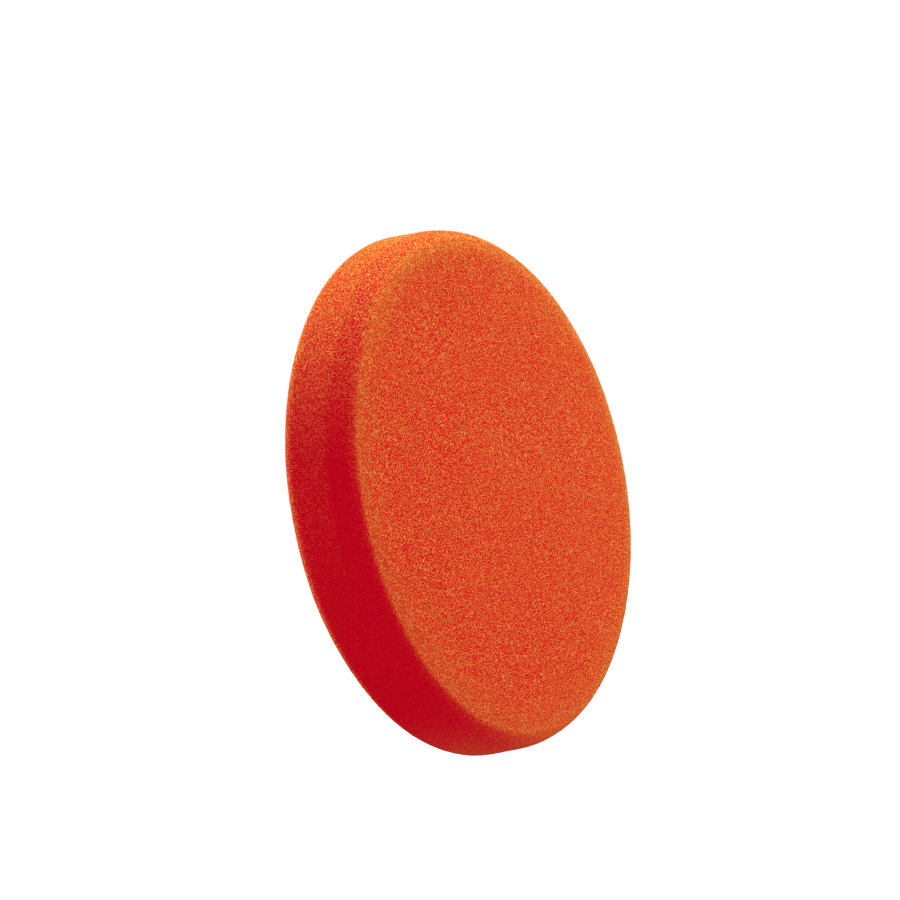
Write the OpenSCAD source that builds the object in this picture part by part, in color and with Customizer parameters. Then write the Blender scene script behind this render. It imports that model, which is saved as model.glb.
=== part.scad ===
// Foam polishing pad for a machine polisher: a round foam disc with a hook-and-loop backing.
// The pad stands upright like a wheel. Its spin axis is Y, the working face looks along -Y,
// and the origin is the centre of the loop face, which grips the machine's hook plate.
// Sizes are in millimetres.

/* [Foam] */
// Diameter of the foam at its widest, close to the backing
foam_d = 160; // [160:1:200]
// Thickness of the foam
foam_t = 22.2; // [20:0.2:30]
// Radius of the round shoulder that leads from the wall to the working face
shoulder_round = 12; // [10:0.5:14]
// Height of the flat working face above the centre of the shoulder's rounding
face_rise = 9.2; // [6:0.2:9.6]
// Radius of the small rounding round the rim of the flat working face
rim_round = 2; // [1:0.5:3]
// Radius of the small rounding at the foam's back edge
back_round = 4; // [1:0.5:5]
// How much the wall's radius shrinks between the back rounding and the shoulder
wall_draft = 1; // [0:0.5:3]

/* [Backing] */
// Diameter of the backing, a little less than the foam's flat back
backing_d = 145; // [100:1:150]
// Thickness of the hot-melt film that bonds the cloth to the foam
film_t = 0.3; // [0.2:0.05:0.5]
// Thickness of the knitted ground of the loop cloth
ground_t = 0.5; // [0.3:0.1:1]
// Height of the brushed loop pile
pile_h = 1.5; // [1:0.1:2.5]

/* [Hidden] */
$fn = 96;

// Heights above the loop face, measured along the spin axis towards the working face
ground_z = pile_h;
film_z = ground_z + ground_t;
foam_z = film_z + film_t;
face_z = foam_z + foam_t;

// Centres of the back edge's rounding and of the shoulder in the half section, as [radius, height]
back_centre = [foam_d / 2 - back_round, foam_z + back_round];
shoulder_centre = [foam_d / 2 - wall_draft - shoulder_round, face_z - face_rise];

// The wall is the straight line that touches both roundings. Its outward normal comes from
// the line between their centres and the difference of their radii.
centre_gap = norm(shoulder_centre - back_centre);
along = (shoulder_centre - back_centre) / centre_gap;
outward = [along.y, -along.x];
lean = (back_round - shoulder_round) / centre_gap;
wall_normal = lean * along + sqrt(1 - lean * lean) * outward;
wall_back = back_centre + back_round * wall_normal;
wall_shoulder = shoulder_centre + shoulder_round * wall_normal;

// The rim's rounding touches the shoulder from inside and the flat face from below
rim_reach = shoulder_round - rim_round;
rim_height = face_rise - rim_round;
rim_offset = [sqrt(rim_reach * rim_reach - rim_height * rim_height), rim_height];
rim_centre = shoulder_centre + rim_offset;
rim_shoulder = shoulder_centre + rim_offset * shoulder_round / rim_reach;

// Turns what is built up along Z, from the loop face to the working face, to point along -Y
module upright() {
    rotate([90, 0, 0]) children();
}

// A round layer of the backing
module backing_layer(z, t) {
    translate([0, 0, z]) cylinder(d = backing_d, h = t);
}

// The shoulder from the wall to the rim of the face, as a wedge of its circle
module shoulder() {
    intersection() {
        translate(shoulder_centre) circle(r = shoulder_round);
        polygon([
            shoulder_centre,
            wall_shoulder,
            wall_shoulder + shoulder_round * [1, 1],
            rim_shoulder + shoulder_round * rim_offset / rim_reach
        ]);
    }
}

// Half section of the foam: flat working face, rim, shoulder, slightly drafted wall, back edge
module foam_section() {
    polygon([
        [0, foam_z],
        [back_centre.x, foam_z],
        wall_back,
        wall_shoulder,
        shoulder_centre,
        rim_shoulder,
        rim_centre,
        [rim_centre.x, face_z],
        [0, face_z]
    ]);
    translate(back_centre) circle(r = back_round);
    shoulder();
    translate(rim_centre) circle(r = rim_round);
}

// Open-cell polyurethane foam, moulded or turned to shape in one piece
module foam_disc() {
    color("orangered") upright() rotate_extrude() foam_section();
}

// Hot-melt film between the foam and the cloth
module adhesive_film() {
    color("ivory") upright() backing_layer(film_z, film_t);
}

// Warp-knitted ground that the loops are anchored in
module loop_cloth_ground() {
    color("gainsboro") upright() backing_layer(ground_z, ground_t);
}

// Pile of brushed nylon loops, as the envelope that the hooks sink into
module loop_pile() {
    color("whitesmoke") upright() backing_layer(0, pile_h);
}

foam_disc();
adhesive_film();
loop_cloth_ground();
loop_pile();
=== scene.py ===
import math

import bpy
import numpy as np
from mathutils import Matrix, Vector, noise


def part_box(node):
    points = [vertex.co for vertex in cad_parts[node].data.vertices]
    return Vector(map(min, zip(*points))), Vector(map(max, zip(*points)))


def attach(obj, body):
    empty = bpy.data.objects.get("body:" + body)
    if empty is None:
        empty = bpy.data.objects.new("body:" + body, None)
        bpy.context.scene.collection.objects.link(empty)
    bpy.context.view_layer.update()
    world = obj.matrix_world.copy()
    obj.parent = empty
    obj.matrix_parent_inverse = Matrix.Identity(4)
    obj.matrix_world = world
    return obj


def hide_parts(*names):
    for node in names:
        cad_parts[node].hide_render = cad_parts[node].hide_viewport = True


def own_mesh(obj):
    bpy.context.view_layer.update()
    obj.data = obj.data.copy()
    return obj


# The looks of a round foam polishing pad with a hook-and-loop backing. It stands upright with its
# spin axis along Y, and its working face looks along -Y.
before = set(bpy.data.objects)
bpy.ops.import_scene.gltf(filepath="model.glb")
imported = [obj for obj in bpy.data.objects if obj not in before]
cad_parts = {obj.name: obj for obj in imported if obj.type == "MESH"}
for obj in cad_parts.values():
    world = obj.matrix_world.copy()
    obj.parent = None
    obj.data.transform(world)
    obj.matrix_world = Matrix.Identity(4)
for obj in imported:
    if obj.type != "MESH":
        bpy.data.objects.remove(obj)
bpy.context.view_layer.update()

MM = 0.001

# The foam's section, as the CAD has it: the shoulder's radius, the height of the flat working face
# above the shoulder's centre, the radii at the face's rim and at the back edge, the wall's draft
SHOULDER_ROUND = 12 * MM
FACE_RISE = 9.2 * MM
RIM_ROUND = 2 * MM
BACK_ROUND = 4 * MM
WALL_DRAFT = 1 * MM

foam_low, foam_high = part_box("foam_disc")
ground_low, ground_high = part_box("loop_cloth_ground")
film_low, film_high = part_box("adhesive_film")
FOAM_R = (foam_high.x - foam_low.x) / 2
BACKING_R = (film_high.x - film_low.x) / 2
FLOOR_Z = foam_low.z
FORWARD = Vector((0, -1, 0))  # the way the working face looks


# ---------------------------------------------------------------- camera
# The line of sight leaves the spin axis by VIEW_OFF_AXIS, and the picture shows the spin axis
# rising to the right by AXIS_RISE.
VIEW_OFF_AXIS = math.radians(56.8)
VIEW_ELEVATION = math.radians(-3)
AXIS_RISE = math.radians(11.9)
CAMERA_DISTANCE = 464 * MM
CAMERA_LENS = 60.0
# How far the centre of the loop face lies from the middle of the picture, across and up
OFF_CENTRE = (-1.6 * MM, -13.6 * MM)


def add_camera():
    azimuth = math.acos(math.cos(VIEW_OFF_AXIS) / math.cos(VIEW_ELEVATION))
    back = Vector((
        -math.sin(azimuth) * math.cos(VIEW_ELEVATION),
        -math.cos(azimuth) * math.cos(VIEW_ELEVATION),
        math.sin(VIEW_ELEVATION),
    ))
    axis_seen = (FORWARD - back * FORWARD.dot(back)).normalized()
    beside = back.cross(axis_seen)
    right = axis_seen * math.cos(AXIS_RISE) - beside * math.sin(AXIS_RISE)
    up = axis_seen * math.sin(AXIS_RISE) + beside * math.cos(AXIS_RISE)
    place = back * CAMERA_DISTANCE - right * OFF_CENTRE[0] - up * OFF_CENTRE[1]
    data = bpy.data.cameras.new("camera")
    data.lens = CAMERA_LENS
    data.sensor_width = 36.0
    data.clip_start = 0.01
    camera = bpy.data.objects.new("camera", data)
    camera.matrix_world = Matrix.Translation(place) @ Matrix((right, up, back)).transposed().to_4x4()
    bpy.context.scene.collection.objects.link(camera)
    bpy.context.scene.camera = camera


# ---------------------------------------------------------------- shared material helpers
def new_material(name):
    """A new material, with its node tree and its shader."""
    material = bpy.data.materials.new(name)
    material.use_nodes = True
    tree = material.node_tree
    return material, tree, tree.nodes["Principled BSDF"]


def set_inputs(node, inputs):
    """Sets a node's sockets from a dictionary of socket name or number to value."""
    for socket, value in inputs.items():
        node.inputs[socket].default_value = value


def add_node(tree, kind, inputs=None, **settings):
    """A new shader node. Its settings come first, because they decide which sockets it has."""
    node = tree.nodes.new("ShaderNode" + kind)
    for setting, value in settings.items():
        setattr(node, setting, value)
    set_inputs(node, inputs or {})
    return node


# ---------------------------------------------------------------- lights and floor
LAMP_DISTANCE = 0.9
# Each lamp's name, direction seen from the origin, diameter in metres and power in watts
LAMPS = (
    ("key", (0.24, 0.0, 0.97), 0.45, 6.6),
    ("front", (0.58, -0.78, 0.25), 0.3, 2.75),
    ("back", (-0.12, 0.96, 0.26), 0.4, 6),
    ("low_side", (0.76, 0.0, -0.65), 0.4, 1.3),
    ("rim", (0.97, -0.1, 0.2), 0.4, 0.7),
)
WHITE = (1, 1, 1, 1)
BACKDROP_STRENGTH = 1.0
AMBIENT_STRENGTH = 0.007
FLOOR_HALF = 6.0
FLOOR_GREY = (0.9, 0.9, 0.9, 1)
FLOOR_GLOW = 1.1


def add_lamp(name, direction, size, power):
    """A round area lamp that looks at the origin."""
    data = bpy.data.lights.new(name, "AREA")
    data.shape = "DISK"
    data.size = size
    data.energy = power
    lamp = bpy.data.objects.new(name, data)
    away = Vector(direction).normalized()
    lamp.location = away * LAMP_DISTANCE
    lamp.rotation_mode = "QUATERNION"
    lamp.rotation_quaternion = away.to_track_quat("Z", "Y")
    bpy.context.scene.collection.objects.link(lamp)


def add_world():
    """A white backdrop for the camera, and a weak light from all round for everything else."""
    world = bpy.data.worlds.new("studio")
    bpy.context.scene.world = world
    world.use_nodes = True
    tree = world.node_tree
    tree.nodes.clear()
    seen = add_node(tree, "Background", {"Color": WHITE, "Strength": BACKDROP_STRENGTH})
    lit = add_node(tree, "Background", {"Color": WHITE, "Strength": AMBIENT_STRENGTH})
    path = add_node(tree, "LightPath")
    mix = add_node(tree, "MixShader")
    out = add_node(tree, "OutputWorld")
    tree.links.new(path.outputs["Is Camera Ray"], mix.inputs[0])
    tree.links.new(lit.outputs[0], mix.inputs[1])
    tree.links.new(seen.outputs[0], mix.inputs[2])
    tree.links.new(mix.outputs[0], out.inputs["Surface"])


def add_floor():
    """A floor that glows white in the picture, and neither lights nor shades the pad."""
    corners = ((-1, -1), (1, -1), (1, 1), (-1, 1))
    mesh = bpy.data.meshes.new("floor")
    mesh.from_pydata([(x * FLOOR_HALF, y * FLOOR_HALF, FLOOR_Z) for x, y in corners], [], [(0, 1, 2, 3)])
    floor = bpy.data.objects.new("floor", mesh)
    bpy.context.scene.collection.objects.link(floor)
    material, _, shader = new_material("floor")
    set_inputs(shader, {
        "Base Color": FLOOR_GREY,
        "Roughness": 0.8,
        "Emission Color": WHITE,
        "Emission Strength": FLOOR_GLOW,
    })
    mesh.materials.append(material)
    floor.visible_diffuse = False
    floor.visible_glossy = False
    floor.visible_shadow = False


# ---------------------------------------------------------------- shared mesh helpers
def disc_grid(n):
    """A square grid of (n + 1) x (n + 1) points bent to the unit disc, its rim evenly spaced."""
    line = np.linspace(-1, 1, n + 1)
    a, b = np.meshgrid(line, line, indexing="ij")
    wide = np.abs(a) > np.abs(b)
    reach = np.where(wide, a, b)
    with np.errstate(divide="ignore", invalid="ignore"):
        turn = np.where(wide, math.pi / 4 * b / a, math.pi / 2 - math.pi / 4 * a / b)
    turn = np.nan_to_num(turn, nan=0.0)
    return reach * np.cos(turn), reach * np.sin(turn)


def grid_index(n):
    return np.arange((n + 1) ** 2).reshape(n + 1, n + 1)


def rim_index(n):
    """The numbers of a disc grid's rim points, in order round the disc."""
    index = grid_index(n)
    return np.concatenate([index[n, :-1], index[::-1, n][:-1], index[0, ::-1][:-1], index[:-1, 0]])


def shell_faces(n, rings):
    """Faces of a closed shell: a disc grid, rings of 4 n points that carry on from its rim, and one
    last point that closes the other side. They look outwards where a grid in X and Z faces -Y."""
    index = grid_index(n)
    faces = [
        (index[i, j], index[i + 1, j], index[i + 1, j + 1], index[i, j + 1])
        for i in range(n) for j in range(n)
    ]
    below = rim_index(n)
    for k in range(rings):
        ring = index.size + 4 * n * k + np.arange(4 * n)
        faces += zip(below, ring, np.roll(ring, -1), np.roll(below, -1))
        below = ring
    last = index.size + 4 * n * rings
    faces += [(here, last, beyond) for here, beyond in zip(below, np.roll(below, -1))]
    return faces


def new_object(name, points, faces):
    mesh = bpy.data.meshes.new(name)
    mesh.from_pydata([tuple(p) for p in points], [], faces)
    mesh.polygons.foreach_set("use_smooth", [True] * len(mesh.polygons))
    mesh.update()
    piece = bpy.data.objects.new(name, mesh)
    bpy.context.scene.collection.objects.link(piece)
    return piece


# ---------------------------------------------------------------- foam
FACE_GRID = 240  # squares along each side of the face's grid, so its rim has four times this
RIM_STEPS = 5
SHOULDER_STEPS = 11
WALL_STEPS = 11
BACK_STEPS = 8
# How far the cut face swells in front of its rim, and over what width it falls back to it
CROWN = 0.5 * MM
CROWN_EDGE = 5 * MM
# Sizes and heights of the surface's unevenness, in millimetres
PORE_SIZE, PORE_HEIGHT = 1.3, 0.06
CLUMP_SIZE, CLUMP_HEIGHT = 2.6, 0.04
SWAY_SIZE, SWAY_HEIGHT = 30, 0.22
CLUMP_SHIFT = Vector((7, 3, 5))  # keeps the clumps apart from the pores' pattern
# How strong the painted highlight along the rim of the cut face is, and how far it reaches either way
RIM_HIGHLIGHT = 0.3
RIM_HIGHLIGHT_INWARDS = 4 * MM
RIM_HIGHLIGHT_OUTWARDS = 1.3 * MM
# Size of the foam's cells, and how far their pattern is pushed about, in millimetres
CELL = 0.9
CELL_WOBBLE = 0.8
PORE_RED = (0.91, 0.002, 0.002, 1)
STRUT_ORANGE = (1.0, 0.66, 0.0, 1)
ORANGE_PLACE = 0.8  # on the way from pore red to the painted glint
# Painted glints: where the struts are brightest the colour turns pale yellow
GLINT_YELLOW = (1.0, 1.0, 0.2, 1)
# A painted red glow: the foam gives out light of its own, which keeps its shaded side bright red
PAINTED_FOAM_GLOW = (0.488, 0.0, 0.011, 1)
FOAM_SHEEN = (0.2, 0.8, 0.0, 1)


def arc(centre, radius, start, end, steps):
    """Points of a rounding after its first one, as rows of (radius, y, outward radial, outward y)."""
    rows = []
    for i in range(1, steps + 1):
        angle = start + (end - start) * i / steps
        n = Vector((math.cos(angle), math.sin(angle)))
        rows.append((*(centre + n * radius), *n))
    return rows


def section_rows():
    """The radius of the flat face, and the foam's outline from there on to the rim of its flat back."""
    back_c = Vector((FOAM_R - BACK_ROUND, foam_high.y - BACK_ROUND))
    shoulder_c = Vector((FOAM_R - WALL_DRAFT - SHOULDER_ROUND, foam_low.y + FACE_RISE))
    reach = SHOULDER_ROUND - RIM_ROUND
    height = FACE_RISE - RIM_ROUND
    rim_offset = Vector((math.sqrt(reach * reach - height * height), -height))
    rim_c = shoulder_c + rim_offset
    rim_turn = math.atan2(rim_offset.y, rim_offset.x)
    gap = shoulder_c - back_c
    along = gap.normalized()
    lean = (BACK_ROUND - SHOULDER_ROUND) / gap.length
    normal = along * lean + Vector((-along.y, along.x)) * math.sqrt(1 - lean * lean)
    wall_turn = math.atan2(normal.y, normal.x)
    wall_start = shoulder_c + normal * SHOULDER_ROUND
    wall_end = back_c + normal * BACK_ROUND
    rows = arc(rim_c, RIM_ROUND, -math.pi / 2, rim_turn, RIM_STEPS)
    rows += arc(shoulder_c, SHOULDER_ROUND, rim_turn, wall_turn, SHOULDER_STEPS)
    rows += [(*wall_start.lerp(wall_end, i / WALL_STEPS), *normal) for i in range(1, WALL_STEPS + 1)]
    rows += arc(back_c, BACK_ROUND, wall_turn, math.pi / 2, BACK_STEPS)
    return rim_c.x, rows


FACE_R, SECTION = section_rows()


def foam_mesh():
    """Points, outward directions and faces of the foam with its swollen face, still smooth."""
    x, z = disc_grid(FACE_GRID)
    points = [np.stack([x.ravel() * FACE_R, np.full(x.size, foam_low.y), z.ravel() * FACE_R], 1)]
    normals = [np.tile([0.0, -1.0, 0.0], (x.size, 1))]
    rim = points[0][rim_index(FACE_GRID)]
    around = np.arctan2(rim[:, 2], rim[:, 0])
    for r, y, n_r, n_y in SECTION:
        points.append(np.stack([r * np.cos(around), np.full(around.size, y), r * np.sin(around)], 1))
        normals.append(np.stack([n_r * np.cos(around), np.full(around.size, n_y), n_r * np.sin(around)], 1))
    points.append(np.array([[0.0, foam_high.y, 0.0]]))
    normals.append(np.array([[0.0, 1.0, 0.0]]))
    points = np.concatenate(points)
    reach = np.hypot(points[:, 0], points[:, 2])
    towards_rim = np.clip((reach - FACE_R + CROWN_EDGE) / CROWN_EDGE, 0, 1)
    front = points[:, 1] < foam_low.y + RIM_ROUND
    points[:, 1] -= np.where(front, CROWN * (1 - towards_rim**2), 0)
    return points, np.concatenate(normals), shell_faces(FACE_GRID, len(SECTION))


def roughen(points, normals):
    """Moves the points along their outward directions for pores and a slight unevenness of the cut.
    The flat back, which is bonded to the film, stays as it is."""
    heights = np.zeros(len(points))
    for i, point in enumerate(points):
        on_flat_back = abs(normals[i][1] - 1) < 1e-6
        if on_flat_back:
            continue
        v = Vector(point) / MM
        pores = noise.noise(v / PORE_SIZE) * PORE_HEIGHT
        clumps = noise.noise(v / CLUMP_SIZE + CLUMP_SHIFT) * CLUMP_HEIGHT
        sway = noise.noise(v / SWAY_SIZE) * SWAY_HEIGHT
        heights[i] = (pores + clumps + sway) * MM
    return points + normals * heights[:, None]


def foam_material():
    """Open cells: orange struts over red pores, in patches, with a bump along the struts.
    The pattern lies in the mesh's rest_mm attribute, so it stays with the foam's points."""
    material, tree, shader = new_material("polishing_foam")
    link = tree.links.new
    rest = add_node(tree, "Attribute", attribute_name="rest_mm")
    wobble = add_node(tree, "TexNoise", {"Scale": 0.9, "Detail": 2})
    shifted = add_node(tree, "VectorMath", {1: (CELL_WOBBLE,) * 3}, operation="MULTIPLY_ADD")
    cells = add_node(tree, "TexVoronoi", {"Scale": 1 / CELL}, feature="DISTANCE_TO_EDGE")
    strut = add_node(
        tree, "MapRange", {"From Min": 0.08, "From Max": 0.2, "To Min": 1, "To Max": 0},
        interpolation_type="SMOOTHSTEP",
    )
    patch = add_node(tree, "TexNoise", {"Scale": 3.2, "Detail": 0})
    lift = add_node(tree, "MapRange", {"From Min": 0.43, "From Max": 0.58, "To Min": 0, "To Max": 1})
    # This attribute carries the painted highlight along the rim of the cut face
    rim_highlight = add_node(tree, "Attribute", attribute_name="rim_highlight")
    light = add_node(tree, "Math", operation="MULTIPLY_ADD")
    # The colour runs from pore red over strut orange to painted yellow glints
    colour = add_node(tree, "ValToRGB")
    pore, glint = colour.color_ramp.elements
    pore.color = PORE_RED
    glint.color = GLINT_YELLOW
    orange = colour.color_ramp.elements.new(ORANGE_PLACE)
    orange.color = STRUT_ORANGE
    bump = add_node(tree, "Bump", {"Strength": 0.9, "Distance": 0.25 * MM})
    link(rest.outputs["Vector"], wobble.inputs["Vector"])
    link(wobble.outputs["Color"], shifted.inputs[0])
    link(rest.outputs["Vector"], shifted.inputs[2])
    link(shifted.outputs["Vector"], cells.inputs["Vector"])
    link(rest.outputs["Vector"], patch.inputs["Vector"])
    link(patch.outputs["Fac"], lift.inputs["Value"])
    link(cells.outputs["Distance"], strut.inputs["Value"])
    link(strut.outputs["Result"], light.inputs[0])
    link(lift.outputs["Result"], light.inputs[1])
    link(rim_highlight.outputs["Fac"], light.inputs[2])
    link(light.outputs["Value"], colour.inputs["Fac"])
    link(colour.outputs["Color"], shader.inputs["Base Color"])
    link(strut.outputs["Result"], bump.inputs["Height"])
    link(bump.outputs["Normal"], shader.inputs["Normal"])
    set_inputs(shader, {
        "Roughness": 0.9,
        "Specular IOR Level": 0.15,
        "Sheen Weight": 0.55,
        "Sheen Roughness": 0.36,
        "Sheen Tint": FOAM_SHEEN,
        # The emission paints a red glow into the foam, painted light on its shaded side
        "Emission Color": PAINTED_FOAM_GLOW,
        "Emission Strength": 1.0,
    })
    return material


def add_foam():
    points, normals, faces = foam_mesh()
    points = roughen(points, normals)
    foam = new_object("foam", points, faces)
    rest = foam.data.attributes.new("rest_mm", "FLOAT_VECTOR", "POINT")
    rest.data.foreach_set("vector", (points / MM).astype(np.float32).ravel())
    # A painted highlight: the colour is lighter along the rim of the cut face, fading inwards and outwards
    rim_highlight = foam.data.attributes.new("rim_highlight", "FLOAT", "POINT")
    past_rim = np.hypot(points[:, 0], points[:, 2]) - FACE_R
    fade = np.where(past_rim < 0, -past_rim / RIM_HIGHLIGHT_INWARDS, (past_rim / RIM_HIGHLIGHT_OUTWARDS) ** 2)
    front = points[:, 1] < foam_low.y + 2 * RIM_ROUND
    rim_highlight.data.foreach_set("value", np.where(front, RIM_HIGHLIGHT * np.exp(-fade), 0).astype(np.float32))
    foam.data.materials.append(foam_material())
    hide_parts("foam_disc")
    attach(foam, "foam")
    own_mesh(foam)


# ---------------------------------------------------------------- backing
# The knitted ground: its columns of stitches (wales) run along Z, its rows (courses) along X
GROUND_GRID = 190
WALE = 1.3 * MM
COURSE = 1.1 * MM
STITCH_LEAN = 0.6  # how far a stitch's middle runs ahead of its sides, as a phase in radians
STITCH_RELIEF = 0.16 * MM
STITCH_DIP = 0.65  # how deep a column dips between its stitches, as a share of the relief
# The cut edge lies a little inside the film's, wavers in two waves, and bulges at half thickness
CUT_INSET = 0.12 * MM
LONG_WAVE, LONG_WAVES = 0.08 * MM, 23
SHORT_WAVE, SHORT_WAVES = 0.06 * MM, 57
CUT_BULGE = 0.08 * MM

# The loops: spacing, disorder of their feet and what stays free at the cloth's edge
LOOP_PITCH = 1.42 * MM
LOOP_DISORDER = 0.42 * MM
LOOP_MARGIN = 0.9 * MM
LOOP_POINTS = 5
YARN_SIDES = 3
YARN_R = 0.15 * MM
LOOP_SEED = 7
# What differs from loop to loop. Lowest and highest, in millimetres, or as a share of YARN_R:
HALF_WIDTH = (0.5, 0.85)
HEIGHT = (1.0, 1.32)
YARN_SHARE = (0.8, 1.15)
# Middle and spread, in radians and in millimetres, with the limits of the two leans:
HEADING = (0.5, 0.9)
LEAN_X, LEAN_X_LIMITS = (0.25, 0.3), (-0.5, 0.8)
LEAN_Z, LEAN_Z_LIMITS = (0.1, 0.3), (-0.6, 0.7)
LOOP_BELLY = 0.25  # how much wider a loop is in its upper part
LOOP_LIFT = 0.02 * MM  # height of the middle of a loop's feet above the ground
# The most that a loop may lean and spread, as shares of its room to the cloth's edge
LEAN_ROOM = 0.7
SPREAD_ROOM = 0.8


def ground_mesh():
    """The knitted ground: stitch relief on the pile side, a slightly uneven cut edge, flat at the film."""
    x, z = disc_grid(GROUND_GRID)
    turn = np.arctan2(z, x)
    waver = LONG_WAVE * np.sin(LONG_WAVES * turn) + SHORT_WAVE * np.sin(SHORT_WAVES * turn + 1)
    edge = BACKING_R - CUT_INSET - waver
    x = (x * edge).ravel()
    z = (z * edge).ravel()
    column = np.abs(np.cos(math.pi * x / WALE))
    stitch = np.abs(np.sin(math.pi * z / COURSE + STITCH_LEAN * column))
    relief = STITCH_RELIEF * (1 - column * (1 - STITCH_DIP * (1 - stitch)))
    points = [np.stack([x, ground_high.y - relief, z], 1)]
    rim = rim_index(GROUND_GRID)
    middle = (ground_low.y + ground_high.y) / 2
    rings = ((middle, CUT_BULGE), (ground_low.y, 0.0))
    for y, bulge in rings:
        scale = 1 + bulge / BACKING_R
        points.append(np.stack([x[rim] * scale, np.full(rim.size, y), z[rim] * scale], 1))
    points.append(np.array([[0.0, ground_low.y, 0.0]]))
    # The grid faces +Y here, so every face is turned over
    faces = [(face[0], *face[:0:-1]) for face in shell_faces(GROUND_GRID, len(rings))]
    return np.concatenate(points), faces


def loop_feet():
    """Where the loops stand, in staggered rows with some disorder, inside the cloth's edge."""
    random = np.random.default_rng(LOOP_SEED)
    steps = int(BACKING_R / LOOP_PITCH) + 2
    i, j = np.meshgrid(np.arange(-steps, steps + 1), np.arange(-steps, steps + 1), indexing="ij")
    x = (i + 0.5 * (j % 2)).ravel() * LOOP_PITCH
    z = j.ravel() * LOOP_PITCH
    x = x + random.uniform(-LOOP_DISORDER, LOOP_DISORDER, x.size)
    z = z + random.uniform(-LOOP_DISORDER, LOOP_DISORDER, z.size)
    keep = np.hypot(x, z) < BACKING_R - LOOP_MARGIN
    return x[keep], z[keep], random


def pile_mesh():
    """Brushed loops, each an arch of yarn on two feet, leaning mostly one way."""
    x, z, random = loop_feet()
    count = x.size
    heading = random.normal(*HEADING, count)
    half_width = random.uniform(*HALF_WIDTH, count) * MM
    height = random.uniform(*HEIGHT, count) * MM
    lean_x = random.normal(*LEAN_X, count).clip(*LEAN_X_LIMITS) * MM
    lean_z = random.normal(*LEAN_Z, count).clip(*LEAN_Z_LIMITS) * MM
    yarn = YARN_R * random.uniform(*YARN_SHARE, count)
    # Near the cloth's edge the loops lean and spread less, so they stay inside it
    room = BACKING_R - np.hypot(x, z) - yarn
    lean_x = np.clip(lean_x, -room * LEAN_ROOM, room * LEAN_ROOM)
    lean_z = np.clip(lean_z, -room * LEAN_ROOM, room * LEAN_ROOM)
    half_width = np.minimum(half_width, room * SPREAD_ROOM)
    path = []
    for step in range(LOOP_POINTS):
        turn = math.pi * step / (LOOP_POINTS - 1)
        top = math.sin(turn)
        along = np.cos(turn) * half_width * (1 + LOOP_BELLY * top)
        path.append(np.stack([
            x + along * np.cos(heading) + lean_x * top,
            ground_high.y + top * height + LOOP_LIFT,
            z + along * np.sin(heading) + lean_z * top,
        ], 1))
    path = np.stack(path, 1)
    tangent = np.gradient(path, axis=1)
    tangent /= np.linalg.norm(tangent, axis=2, keepdims=True)
    side = np.stack([-np.sin(heading), np.zeros(count), np.cos(heading)], 1)[:, None, :]
    side = side - (side * tangent).sum(2, keepdims=True) * tangent
    side /= np.linalg.norm(side, axis=2, keepdims=True)
    out = np.cross(side, tangent)
    strands = []
    for k in range(YARN_SIDES):
        angle = 2 * math.pi * k / YARN_SIDES
        offset = math.cos(angle) * side + math.sin(angle) * out
        strands.append(path + offset * yarn[:, None, None])
    points = np.stack(strands, 2)
    index = np.arange(count * LOOP_POINTS * YARN_SIDES).reshape(count, LOOP_POINTS, YARN_SIDES)
    turned = np.roll(index, -1, axis=2)
    quads = np.stack([index[:, :-1], index[:, 1:], turned[:, 1:], turned[:, :-1]], 3).reshape(-1, 4)
    return points.reshape(-1, 3), quads.tolist()


FILM_DARK = (0.7, 0.64, 0.5, 1)
FILM_LIGHT = (0.88, 0.85, 0.75, 1)
# Darkest and lightest colour and sheen of the two yarns
GROUND_YARN = ((0.68, 0.68, 0.67, 1), (0.86, 0.86, 0.85, 1), 0.2)
LOOP_YARN = ((0.78, 0.78, 0.765, 1), (0.96, 0.96, 0.945, 1), 0.4)


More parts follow.
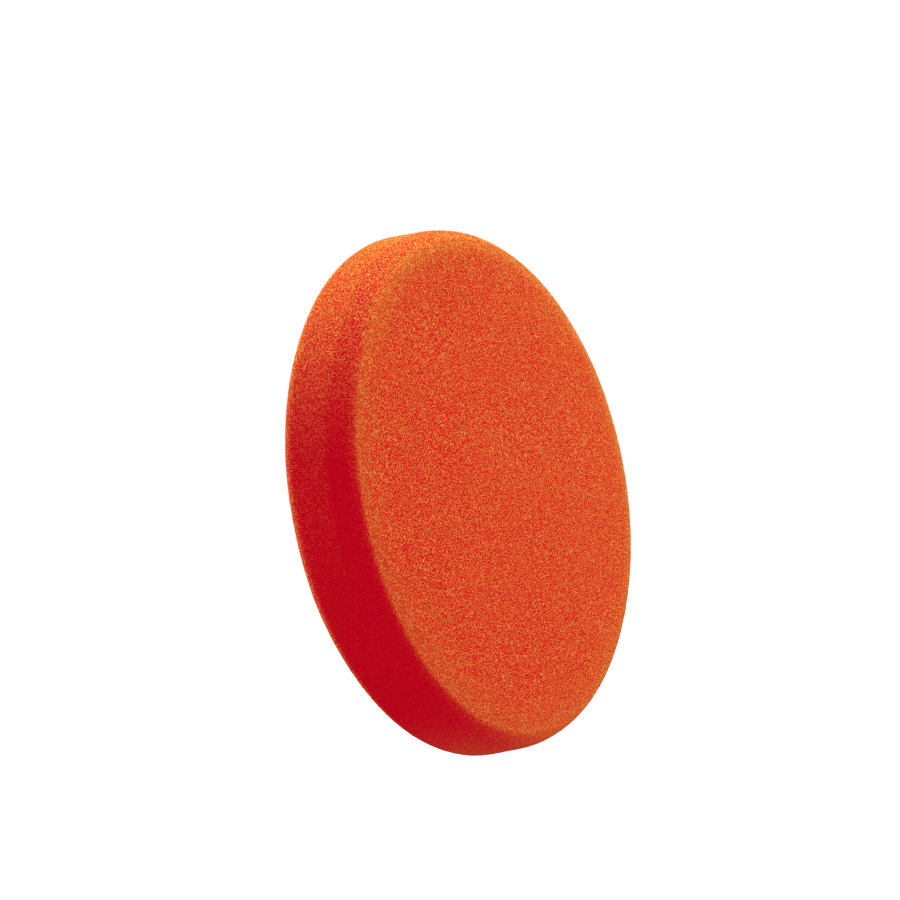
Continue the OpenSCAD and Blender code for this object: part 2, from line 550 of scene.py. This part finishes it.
def yarn_material(name, dark, light, sheen):
    """Nylon yarn: patchy brightness from loop to loop, fine filaments, a soft sheen."""
    material, tree, shader = new_material(name)
    link = tree.links.new
    place = add_node(tree, "TexCoord")
    patches = add_node(tree, "TexNoise", {"Scale": 420, "Detail": 3})
    filaments = add_node(tree, "TexNoise", {"Scale": 9000, "Detail": 2})
    both = add_node(tree, "Math", {1: 0.5}, operation="MULTIPLY_ADD")
    share = add_node(tree, "MapRange", {"From Min": 0.5, "From Max": 1.05})
    colour = add_node(tree, "Mix", {"A": dark, "B": light}, data_type="RGBA")
    bump = add_node(tree, "Bump", {"Strength": 0.35, "Distance": 0.05 * MM})
    link(place.outputs["Object"], patches.inputs["Vector"])
    link(place.outputs["Object"], filaments.inputs["Vector"])
    link(filaments.outputs["Fac"], both.inputs[0])
    link(patches.outputs["Fac"], both.inputs[2])
    link(both.outputs["Value"], share.inputs["Value"])
    link(share.outputs["Result"], colour.inputs["Factor"])
    link(colour.outputs["Result"], shader.inputs["Base Color"])
    link(filaments.outputs["Fac"], bump.inputs["Height"])
    link(bump.outputs["Normal"], shader.inputs["Normal"])
    set_inputs(shader, {"Roughness": 0.6, "Sheen Weight": sheen, "Sheen Roughness": 0.4})
    return material


def film_material():
    """Set hot-melt: waxy, slightly cloudy, with a faint ripple from the press."""
    material, tree, shader = new_material("hot_melt_film")
    link = tree.links.new
    place = add_node(tree, "TexCoord")
    cloud = add_node(tree, "TexNoise", {"Scale": 160, "Detail": 4})
    colour = add_node(tree, "Mix", {"A": FILM_DARK, "B": FILM_LIGHT}, data_type="RGBA")
    ripple = add_node(tree, "TexNoise", {"Scale": 700})
    bump = add_node(tree, "Bump", {"Strength": 0.5, "Distance": 0.08 * MM})
    link(place.outputs["Object"], cloud.inputs["Vector"])
    link(place.outputs["Object"], ripple.inputs["Vector"])
    link(cloud.outputs["Fac"], colour.inputs["Factor"])
    link(colour.outputs["Result"], shader.inputs["Base Color"])
    link(ripple.outputs["Fac"], bump.inputs["Height"])
    link(bump.outputs["Normal"], shader.inputs["Normal"])
    set_inputs(shader, {"Roughness": 0.45})
    return material


def add_backing():
    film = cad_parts["adhesive_film"]
    film.material_slots[0].material = film_material()
    ground = new_object("loop_ground", *ground_mesh())
    ground.data.materials.append(yarn_material("loop_ground", *GROUND_YARN))
    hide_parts("loop_cloth_ground")
    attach(ground, "backing")
    pile = new_object("loop_pile_yarn", *pile_mesh())
    pile.data.materials.append(yarn_material("loop_yarn", *LOOP_YARN))
    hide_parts("loop_pile")
    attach(pile, "backing")


add_camera()
add_floor()
for lamp in LAMPS:
    add_lamp(*lamp)
add_world()
add_foam()
add_backing()
bpy.context.scene.view_settings.view_transform = "Standard"
bpy.context.scene.cycles.use_denoising = False
